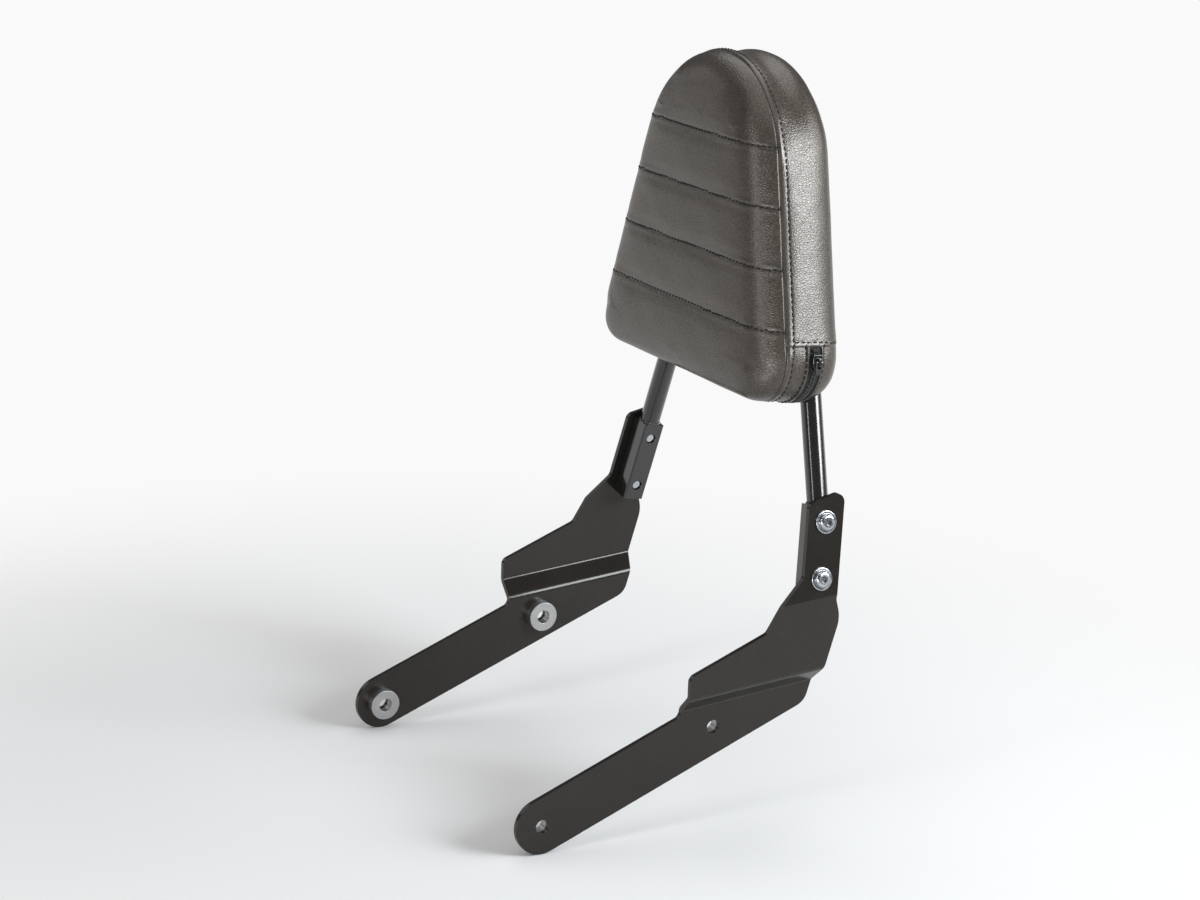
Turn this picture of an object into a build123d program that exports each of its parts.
from build123d import *
import os
from math import acos, asin, atan2, cos, hypot, radians, sin, tan

# Sissy bar for a cruiser: a padded hoop on two bent side brackets.
# X runs across the bike (left is +X), -Y is forwards, Z is up. The origin is the middle of
# the line through the two front bolt holes. Sizes are in millimetres, angles in degrees.

# Side brackets: a mounting plate on the strut, a joggle, an upright panel and a screw tab
PLATE_GAP = 274.0  # between the inner faces of the two mounting plates
SHEET = 4.0  # thickness of the bracket sheet
BEND_RADIUS = 5.5  # of each bend, at the middle of the sheet
HOLE_DIAMETER = 10.5  # clearance for an M10 bolt
HOLE_PITCH = 150.0  # front hole to rear hole, along the strut
STRUT_SLOPE = 21.5  # rise of the mounting plate towards the rear
PLATE_HALF = 21.0  # half the height of the mounting plate, and the radius of its front end
END_FLAT = 0.02  # between the two roundings of that end
BEND_SLOPE = 4.8  # rise of the three bend lines towards the rear
JOGGLE_OUT = 11.8  # how far the panel stands outside the mounting plate
JOGGLE_LOW = 62.0  # lower joggle bend, square above the origin
JOGGLE_HIGH = 74.0  # upper joggle bend
TAB_BEND = 128.0  # bend between the panel and the tab
TAB_LEAN_IN = 11.7  # lean of the tab towards the middle
PANEL_FRONT = 112.0  # Y of the panel's front edge
SHOULDER = 52.5  # panel's sloping top edge, square above the line of the holes
NECK_BACK = 209.5  # where that edge turns up into the neck, along the strut
NECK_FRONT = 187.4  # Y of the neck's front edge at the tab bend
PANEL_BACK = (238.0, 130.0)  # the panel's rearmost corner in side view
FOOT_BACK = 226.0  # rear end of the plate's lower edge, along the strut
CORNER = 6.0  # radius of the small corners
BACK_RADIUS = 25.0  # radius of the rearmost corner
FOOT_RADIUS = 14.0  # radius of the lower rear corner

# Screw tab, lug and screws
TAB_FOOT = 219.4  # Y of the tab's middle at its bend
TAB_WIDTH = 29.5
TAB_LEAN_BACK = 9.3  # lean of the tab in side view
TAB_ABOVE = 19.0  # tab above the upper screw, along its middle
TAB_TOP_SLOPE = 12.4  # rise of the tab's top edge towards the rear
FLARE = 14.0  # upper end of the tab's front flare above the bend
LUG_CLEAR = 1.5  # lower end of the lug above the bend's rounding
SCREW_PITCH = 42.0
LUG = 18.0  # side of the square bar
LUG_ABOVE = 12.0  # lug above the upper screw
LUG_BELOW = 12.0  # lug below the lower screw
LUG_EDGE = 1.5
SCREW_DIAMETER = 8.0
SCREW_CLEARANCE = 0.5  # on diameter, in the tab
THREAD_GAP = 0.1  # on diameter, in the lug
SCREW_SHORT = 1.5  # end of the screw inside the lug's far face
FLANGE_DIAMETER = 17.5
FLANGE_THICK = 1.6
HEAD_DIAMETER = 13.0
HEAD_HEIGHT = 4.6
SOCKET = 5.0  # across flats
SOCKET_DEPTH = 2.6
DOME = 0.9  # share of the head above its flange that is rounded
SCREW_END_CHAMFER = 0.8

# Spacer rings behind the mounting plates
SPACER_DIAMETER = 24.0
SPACER_LENGTH = 8.0

# Hoop
TUBE_DIAMETER = 16.0
TUBE_WALL = 2.0
LEG_SPLAY = 18.3  # of each leg from upright, seen from the front
HOOP_LEAN = 4.0  # of the hoop towards the rear
HOOP_RADIUS = 45.0  # of the bend at the top, at the tube's middle
WELD = 2.2  # height of the bead round each tube end
WELD_LIP = 1.0  # width of the bead on the lug
WEB_THICK = 2.0
WEB_LOW = 30.0  # lower edge of the support plate above the pad's underside

# Pad, in the plane of the hoop: depths are counted forwards from the hoop's middle plane
PAD_CLEAR = 71.0  # pad's underside above the lugs
PAD_HEIGHT = 248.5
PAD_TOP_RADIUS = 93.0
PAD_CORNER = 34.5
PAD_CORNER_OUT = 94.8  # middle of each lower corner from the middle plane
PAD_SEAM = 40.5  # seam between the front panel and the side strip
FRONT_DEPTH = 19.0  # front face in front of that seam
SEAM_ROLL = 4.0  # rounding each side of the seam, which lies this deep
FRONT_FLAT = 1.0  # between that rounding and the one of the front edge
REAR_FOAM = 0.8  # foam behind the tube
BACK_ROLL = 16.0
BACK_SEAM = 1.5  # rear seam in front of the back
COVER = 2.0  # cover with its backing
FOAM_GAP = 0.2  # foam to tube
QUILT_LINES = 4
QUILT_FIRST = 58.7  # lowest sewn line above the pad's underside
QUILT_PITCH = 43.0
QUILT_WIDTH = 2.4
QUILT_DEPTH = 0.9

# Zip round the underside
ZIP_DEPTH = 17.5  # middle of the zip in front of the hoop's middle plane
ZIP_HALF = 5.5  # half the slot between the two zip bands
HEM = 49.0  # lower ends of the side strip above the pad's underside
TAPE = 1.0
COIL_HALF = 2.4
COIL_PROUD = 0.8
COIL_SPLIT = 0.1  # between the two coils
COIL_END = 44.0  # ends of the coils above the pad's underside
STOP_LENGTH = 2.8
STOP_GAP = 0.6  # past the ends of the coils
STOP_HALF = 2.8
STOP_PROUD = 1.2
SLIDER_AT = 38.0  # middle of the slider above the pad's underside
SLIDER_LENGTH = 11.0
SLIDER_WIDTH = 8.0
SLIDER_THICK = 2.4
SLIDER_TAIL = 5.6
SLIDER_TAPER = 1.1  # start of the taper below the slider's middle
SLIDER_CORNER = 1.0
SLIDER_EDGE = 0.6
BAIL_LENGTH = 6.0
BAIL_WIDTH = 2.2
BAIL_HEIGHT = 3.0
BAIL_EDGE = 1.0
PIN_DIAMETER = 2.0
PIN_GAP = 0.08  # radial
PULL_LENGTH = 9.0
PULL_WIDTH = 5.6
PULL_THICK = 1.4
PULL_CORNER = 1.9  # of the hanging end
PULL_EDGE = 0.5  # of the end at the pin
PULL_SIDE_GAP = 0.35  # each side of the bail
PULL_TILT = 5.0  # tip towards the pad

FAR = 600.0  # reach of the cutting blocks


def strut_point(along, above):
    """Side-view point (Y, Z) from a place along the line of the holes and a height over it."""
    slope = radians(STRUT_SLOPE)
    return (along * cos(slope) - above * sin(slope), along * sin(slope) + above * cos(slope))


def strut_along_at(y, above):
    """Place along the line of the holes where a line parallel to it reaches a given Y."""
    slope = radians(STRUT_SLOPE)
    return (y + above * sin(slope)) / cos(slope)


def bend_z(y, level):
    """Z of a bend line at a given Y."""
    slope = radians(BEND_SLOPE)
    return (level + y * sin(slope)) / cos(slope)


def tab_edge(up, side):
    """Side-view point on an edge of the tab: side is 1 for the front edge and -1 for the rear."""
    point = tab_plane().from_local_coords(Vector(up, side * TAB_WIDTH / 2, 0))
    return (point.Y, point.Z)


def bracket_outline():
    """Side view of the bracket, from the front end of the plate up to the tab and back."""
    front_end = PLATE_HALF - END_FLAT / 2
    top = upper_screw() + TAB_ABOVE
    half_rise = TAB_WIDTH / 2 * tan(radians(TAB_TOP_SLOPE + TAB_LEAN_BACK))
    corners = [
        (strut_point(-PLATE_HALF, -PLATE_HALF), front_end),
        (strut_point(-PLATE_HALF, PLATE_HALF), front_end),
        (strut_point(strut_along_at(PANEL_FRONT, PLATE_HALF), PLATE_HALF), CORNER),
        (strut_point(strut_along_at(PANEL_FRONT, SHOULDER), SHOULDER), CORNER),
        (strut_point(NECK_BACK, SHOULDER), CORNER),
        ((NECK_FRONT, bend_z(NECK_FRONT, TAB_BEND)), CORNER),
        (tab_edge(FLARE, 1), CORNER),
        (tab_edge(top - half_rise, 1), CORNER),
        (tab_edge(top + half_rise, -1), CORNER),
        (tab_edge(0, -1), CORNER),
        (PANEL_BACK, BACK_RADIUS),
        (strut_point(FOOT_BACK, -PLATE_HALF), FOOT_RADIUS),
    ]
    points = [point for point, radius in corners]
    radii = [radius for point, radius in corners]
    return make_face(FilletPolyline(*points, radius=radii, close=True))


def bend_frame():
    """Plane square to the bend lines: its x is across the bike and its y is up."""
    slope = radians(BEND_SLOPE)
    return Plane(origin=(0, 0, 0), x_dir=(1, 0, 0), z_dir=(0, -cos(slope), -sin(slope)))


def sheet_levels():
    """Middle of the sheet at the plate and at the panel, across the bike."""
    plate = PLATE_GAP / 2 + SHEET / 2
    return plate, plate + JOGGLE_OUT


def tab_plane():
    """Inner face of the left tab, at its bend: x up the tab, y forwards, z out of the bike."""
    slope = radians(BEND_SLOPE)
    lean = radians(TAB_LEAN_IN)
    inner = sheet_levels()[1] - SHEET / 2 / cos(lean)
    rise = cos(slope) - tan(radians(TAB_LEAN_BACK)) * sin(slope)
    up = (-tan(lean) * rise, tan(radians(TAB_LEAN_BACK)), 1)
    out = (cos(lean), -sin(lean) * sin(slope), sin(lean) * cos(slope))
    foot = (inner, TAB_FOOT, bend_z(TAB_FOOT, TAB_BEND))
    return Plane(origin=foot, x_dir=up, z_dir=out)


def lug_foot():
    """Lower end of the lug, up the tab from its bend."""
    return BEND_RADIUS * tan(radians(TAB_LEAN_IN / 2)) + LUG_CLEAR


def upper_screw():
    """Upper screw, up the tab from its bend."""
    return lug_foot() + LUG_BELOW + SCREW_PITCH


def lug_top_plane():
    """Top face of the left lug, at its middle."""
    tab = tab_plane()
    middle = tab.from_local_coords(Vector(upper_screw() + LUG_ABOVE, 0, -LUG / 2))
    return Plane(origin=middle, x_dir=tab.z_dir, z_dir=tab.x_dir)


def hoop_plane():
    """Middle plane of the hoop, between the lugs: y up along the hoop, z forwards."""
    lean = radians(HOOP_LEAN)
    foot = lug_top_plane().origin
    return Plane(origin=(0, foot.Y, foot.Z), x_dir=(1, 0, 0), z_dir=(0, -cos(lean), sin(lean)))


def pad_plane():
    """The hoop's plane, with its origin on the pad's underside."""
    return Plane(hoop_plane().location * Pos(0, PAD_CLEAR, 0))


def mirrored(shape):
    return mirror(shape, about=Plane.YZ)


def screw_places():
    return [tab_plane() * Pos(upper_screw() - step * SCREW_PITCH, 0, SHEET) for step in range(2)]


def hole_places():
    return [strut_point(step * HOLE_PITCH, 0) for step in range(2)]


def side_bracket():
    """Left bracket: the bent sheet, cut to its side view and drilled."""
    plate, panel = sheet_levels()
    lean = radians(TAB_LEAN_IN)
    bends = [
        (plate, -FAR),
        (plate, JOGGLE_LOW),
        (panel, JOGGLE_HIGH),
        (panel, TAB_BEND),
        (panel - FAR * sin(lean), TAB_BEND + FAR * cos(lean)),
    ]
    section = trace(FilletPolyline(*bends, radius=BEND_RADIUS), line_width=SHEET)
    sheet = extrude(bend_frame() * section, amount=FAR, both=True)
    cutter = extrude(Plane.YZ * bracket_outline(), amount=FAR)
    bracket = sheet & cutter
    for y, z in hole_places():
        drill = Plane.YZ * Pos(y, z, 0) * Cylinder(HOLE_DIAMETER / 2, FAR)
        bracket -= drill
    for place in screw_places():
        bracket -= place * Cylinder((SCREW_DIAMETER + SCREW_CLEARANCE) / 2, FAR)
    return bracket


def lug():
    """Left lug: square bar on the inner face of the tab, with two threaded holes."""
    length = LUG_ABOVE + SCREW_PITCH + LUG_BELOW
    bar = Pos(lug_foot() + length / 2, 0, -LUG / 2) * Box(length, LUG, LUG)
    bar = fillet(bar.edges().filter_by(Axis.X), LUG_EDGE)
    bar = tab_plane() * bar
    for place in screw_places():
        bar -= place * Cylinder((SCREW_DIAMETER + THREAD_GAP) / 2, FAR)
    return bar


def screw():
    """Flanged button-head screw, its head standing on z = 0."""
    shank_length = SHEET + LUG - SCREW_SHORT
    shank = Pos(0, 0, -shank_length / 2) * Cylinder(SCREW_DIAMETER / 2, shank_length)
    shank = chamfer(shank.edges().group_by(Axis.Z)[0], SCREW_END_CHAMFER)
    flange = Pos(0, 0, FLANGE_THICK / 2) * Cylinder(FLANGE_DIAMETER / 2, FLANGE_THICK)
    flange = fillet(flange.edges().group_by(Axis.Z)[-1], FLANGE_THICK / 2)
    dome_height = HEAD_HEIGHT - FLANGE_THICK
    flat = HEAD_DIAMETER / 2 - dome_height
    dome = Pos(0, 0, FLANGE_THICK + dome_height / 2) * Cylinder(HEAD_DIAMETER / 2, dome_height)
    dome = fillet(dome.edges().group_by(Axis.Z)[-1], min(dome_height, flat) * DOME)
    socket_shape = RegularPolygon(SOCKET / 2, 6, major_radius=False)
    socket = extrude(Pos(0, 0, HEAD_HEIGHT - SOCKET_DEPTH) * socket_shape, amount=SOCKET_DEPTH)
    return shank + flange + dome - socket


def spacers():
    """Rings on the inner faces of the mounting plates, at all four holes."""
    rings = []
    across = PLATE_GAP / 2 - SPACER_LENGTH / 2
    ring = Cylinder(SPACER_DIAMETER / 2, SPACER_LENGTH) - Cylinder(HOLE_DIAMETER / 2, SPACER_LENGTH)
    for y, z in hole_places():
        rings.append(Plane.YZ * Pos(y, z, across) * ring)
    return rings + [mirrored(ring) for ring in rings]


def hoop_path(foot):
    """Middle line of the tube, from a level below the lug's top face, up and over."""
    splay = tan(radians(LEG_SPLAY))
    half = lug_top_plane().origin.X
    peak = half / splay
    left = (half + foot * splay, -foot)
    right = (-half - foot * splay, -foot)
    return hoop_plane() * FilletPolyline(left, (0, peak), right, radius=HOOP_RADIUS)


def hoop_rod(radius, foot):
    path = hoop_path(foot)
    section = Plane(origin=path @ 0, z_dir=path % 0) * Circle(radius)
    return sweep(section, path=path)


def above_lugs(shape):
    """Keeps what lies above the top faces of both lugs."""
    left = lug_top_plane()
    right = Plane(origin=(-left.origin.X, left.origin.Y, left.origin.Z),
                  x_dir=(0, 1, 0), z_dir=(-left.z_dir.X, left.z_dir.Y, left.z_dir.Z))
    return split(split(shape, left, Keep.TOP), right, Keep.TOP)


def hoop_tube():
    foot = TUBE_DIAMETER
    tube = hoop_rod(TUBE_DIAMETER / 2, foot) - hoop_rod(TUBE_DIAMETER / 2 - TUBE_WALL, foot)
    return above_lugs(tube)


def leg_weld():
    """Bead round the left tube end, on the lug's top face."""
    radius = TUBE_DIAMETER / 2
    path = hoop_path(WELD)
    reach = 2 * WELD
    bead = Cone(radius + WELD_LIP * reach / WELD, radius, reach)
    bead = Plane(origin=path @ 0, z_dir=path % 0) * Pos(0, 0, reach / 2) * bead
    over_lug = lug_top_plane() * Pos(0, 0, WELD) * Box(LUG, LUG, 2 * WELD)
    return (bead & over_lug) - hoop_rod(radius, TUBE_DIAMETER)


def support_plate():
    """Sheet that fills the hoop inside the pad, welded to the tube."""
    path = hoop_path(-(PAD_CLEAR + WEB_LOW))
    edge = Line(path @ 1, path @ 0)
    face = make_face(path.edges() + edge.edges())
    sheet = extrude(face, amount=WEB_THICK / 2, both=True)
    return sheet - hoop_rod(TUBE_DIAMETER / 2, TUBE_DIAMETER)


def pad_outline(inset):
    """Front view of the pad, made smaller by an inset: a round top over two lower corners."""
    top = Pos(0, PAD_HEIGHT - PAD_TOP_RADIUS) * Circle(PAD_TOP_RADIUS - inset)
    corners = [Pos(side * PAD_CORNER_OUT, PAD_CORNER) * Circle(PAD_CORNER - inset) for side in (-1, 1)]
    return make_hull(top.edges() + corners[0].edges() + corners[1].edges())


def pad_back():
    """Depth of the pad's rear face, behind the tube."""
    return -(TUBE_DIAMETER / 2 + FOAM_GAP + REAR_FOAM + COVER)


def pad_body(inset):
    """The pad's outer form in the pad plane, made smaller all round by an inset."""
    outline = pad_outline(inset)
    front_roll = FRONT_DEPTH - SEAM_ROLL - FRONT_FLAT
    front = Pos(0, 0, PAD_SEAM) * extrude(outline, amount=FRONT_DEPTH - inset)
    front = fillet(front.edges().group_by(Axis.Z)[-1], front_roll - inset)
    front = fillet(front.edges().group_by(Axis.Z)[0], SEAM_ROLL)
    back = Pos(0, 0, pad_back() + inset) * extrude(outline, amount=PAD_SEAM - pad_back() - inset)
    back = fillet(back.edges().group_by(Axis.Z)[-1], SEAM_ROLL)
    back = fillet(back.edges().group_by(Axis.Z)[0], BACK_ROLL - inset)
    return front + back


def slab(low, high, axis):
    """Block in the pad plane between two levels, of height (1) or of depth (2)."""
    size = [FAR, FAR, FAR]
    place = [0, 0, 0]
    size[axis] = high - low
    place[axis] = (high + low) / 2
    return Pos(*place) * Box(*size)


def foam():
    """Front and rear halves of the foam, cut for the hoop and its support plate."""
    inside = pad_body(COVER)
    hollow = hoop_rod(TUBE_DIAMETER / 2 + FOAM_GAP, TUBE_DIAMETER)
    plate = support_plate()
    halves = [inside & slab(0, FAR, 2), inside & slab(-FAR, 0, 2)]
    return [pad_plane() * half - hollow - plate for half in halves]


def cover_panels():
    """Leatherette panels of the cover, as a skin over the foam, cut along its seams."""
    back_seam = pad_back() + BACK_SEAM
    outer = pad_body(0)
    skin = outer - pad_body(COVER)
    front = skin & slab(PAD_SEAM, FAR, 2)
    groove = outer - pad_body(QUILT_DEPTH)
    for line in range(QUILT_LINES):
        level = QUILT_FIRST + line * QUILT_PITCH
        cut = groove & slab(level - QUILT_WIDTH / 2, level + QUILT_WIDTH / 2, 1)
        front -= cut & slab(PAD_SEAM, FAR, 2)
    strip = skin & slab(back_seam, PAD_SEAM, 2)
    low = strip & slab(-FAR, HEM, 1)
    legs = hoop_rod(TUBE_DIAMETER / 2 + FOAM_GAP, TUBE_DIAMETER)
    return {
        "cover_front_panel": pad_plane() * front,
        "cover_side_gusset": pad_plane() * (strip & slab(HEM, FAR, 1)),
        "cover_rear_panel": pad_plane() * (skin & slab(-FAR, back_seam, 2)),
        "front_zip_band": pad_plane() * (low & slab(ZIP_DEPTH + ZIP_HALF, FAR, 2)),
        "rear_zip_band": pad_plane() * (low & slab(-FAR, ZIP_DEPTH - ZIP_HALF, 2)) - legs,
    }


def zip_strip(outer, inner, near, far, side, end):
    """Strip round the underside between two insets, on one side of the zip's middle."""
    ring = pad_outline(outer) - pad_outline(inner)
    low = ZIP_DEPTH + min(side * near, side * far)
    strip = Pos(0, 0, low) * extrude(ring, amount=far - near)
    return pad_plane() * (strip & slab(-FAR, end, 1))


def zip_chain():
    """Two tapes in the slot between the zip bands, and the two coils that stand on them."""
    middle = COVER - TAPE
    near = COIL_SPLIT / 2
    tapes = [zip_strip(middle, COVER, near, ZIP_HALF, side, HEM) for side in (1, -1)]
    coils = [zip_strip(-COIL_PROUD, middle, near, COIL_HALF, side, COIL_END) for side in (1, -1)]
    return tapes, coils


def side_plane(height):
    """On the pad's left side, at the zip: x down along the side, z out of the pad."""
    rise = PAD_HEIGHT - PAD_TOP_RADIUS - PAD_CORNER
    span = hypot(PAD_CORNER_OUT, rise)
    side = acos((PAD_TOP_RADIUS - PAD_CORNER) / span) - atan2(rise, PAD_CORNER_OUT)
    above = height - PAD_CORNER * (1 + sin(side))
    tilt = side if above > 0 else asin(height / PAD_CORNER - 1)
    across = PAD_CORNER_OUT + PAD_CORNER * cos(tilt) - max(above, 0) * tan(side)
    local = Plane(origin=(across, height, ZIP_DEPTH),
                  x_dir=(sin(tilt), -cos(tilt), 0), z_dir=(cos(tilt), sin(tilt), 0))
    return Plane(pad_plane().location * local.location)


def zip_end_stops():
    """A clamp on the tapes past each end of the coils."""
    high = STOP_PROUD + COVER - TAPE
    middle = STOP_PROUD - high / 2
    stop = Pos(0, 0, middle) * Box(STOP_LENGTH, 2 * STOP_HALF, high)
    left = side_plane(COIL_END + STOP_GAP + STOP_LENGTH / 2) * stop
    return [left, mirrored(left)]


def pin_height():
    return COIL_PROUD + SLIDER_THICK + BAIL_HEIGHT / 2


def zip_slider():
    """Slider on the coils, with the bail that holds the pull."""
    half = SLIDER_LENGTH / 2
    outline = make_face(FilletPolyline(
        (-half, -SLIDER_WIDTH / 2), (SLIDER_TAPER, -SLIDER_WIDTH / 2), (half, -SLIDER_TAIL / 2),
        (half, SLIDER_TAIL / 2), (SLIDER_TAPER, SLIDER_WIDTH / 2), (-half, SLIDER_WIDTH / 2),
        radius=SLIDER_CORNER, close=True))
    body = Pos(0, 0, COIL_PROUD) * extrude(outline, amount=SLIDER_THICK)
    body = fillet(body.edges().group_by(Axis.Z)[-1], SLIDER_EDGE)
    bail = Pos(0, 0, pin_height()) * Box(BAIL_LENGTH, BAIL_WIDTH, BAIL_HEIGHT)
    bail = fillet(bail.edges().group_by(Axis.Z)[-1].filter_by(Axis.Y), BAIL_EDGE)
    eye = Pos(0, 0, pin_height()) * Rot(90, 0, 0) * Cylinder(PIN_DIAMETER / 2 + PIN_GAP, SLIDER_WIDTH)
    return side_plane(SLIDER_AT) * (body + (bail - eye))


def zip_pull():
    """Tab that hangs from the bail: a pin between two arms, and a rounded plate."""
    inner = BAIL_WIDTH / 2 + PULL_SIDE_GAP
    reach = BAIL_LENGTH / 2 + BAIL_HEIGHT / 2 + PULL_SIDE_GAP
    start = -PIN_DIAMETER / 2
    outline = make_face(FilletPolyline(
        (start, -PULL_WIDTH / 2), (PULL_LENGTH, -PULL_WIDTH / 2),
        (PULL_LENGTH, PULL_WIDTH / 2), (start, PULL_WIDTH / 2),
        radius=[PULL_EDGE, PULL_CORNER, PULL_CORNER, PULL_EDGE], close=True))
    plate = Pos(0, 0, -PULL_THICK / 2) * extrude(outline, amount=PULL_THICK)
    slot = Pos((reach + 2 * start) / 2, 0, 0) * Box(reach - 2 * start, 2 * inner, 2 * PULL_THICK)
    pin = Rot(90, 0, 0) * Cylinder(PIN_DIAMETER / 2, PULL_WIDTH - PULL_SIDE_GAP)
    tab = Pos(0, 0, pin_height()) * Rot(0, PULL_TILT, 0) * (plate - slot + pin)
    return side_plane(SLIDER_AT) * tab


def all_parts():
    bracket = side_bracket()
    bar = lug()
    weld = leg_weld()
    screws = [place * screw() for place in screw_places()]
    front_foam, rear_foam = foam()
    tapes, coils = zip_chain()
    parts = {
        "left_side_bracket": bracket,
        "right_side_bracket": mirrored(bracket),
        "left_lug": bar,
        "right_lug": mirrored(bar),
        "lug_screws": Compound(screws + [mirrored(one) for one in screws]),
        "strut_spacers": Compound(spacers()),
        "hoop_tube": hoop_tube(),
        "leg_welds": Compound([weld, mirrored(weld)]),
        "pad_support_plate": support_plate(),
        "front_foam": front_foam,
        "rear_foam": rear_foam,
        "front_zip_tape": tapes[0],
        "rear_zip_tape": tapes[1],
        "zip_coil": Compound(coils),
        "zip_end_stops": Compound(zip_end_stops()),
        "zip_slider": zip_slider(),
        "zip_pull": zip_pull(),
    }
    parts.update(cover_panels())
    return parts


os.makedirs("parts", exist_ok=True)
for name, shape in all_parts().items():
    export_step(shape, f"parts/{name}.step")
hinge = side_plane(SLIDER_AT)
print("rear hole", hole_places()[1])
print("pull pin", hinge.from_local_coords(Vector(0, 0, pin_height())), "axis", hinge.y_dir)
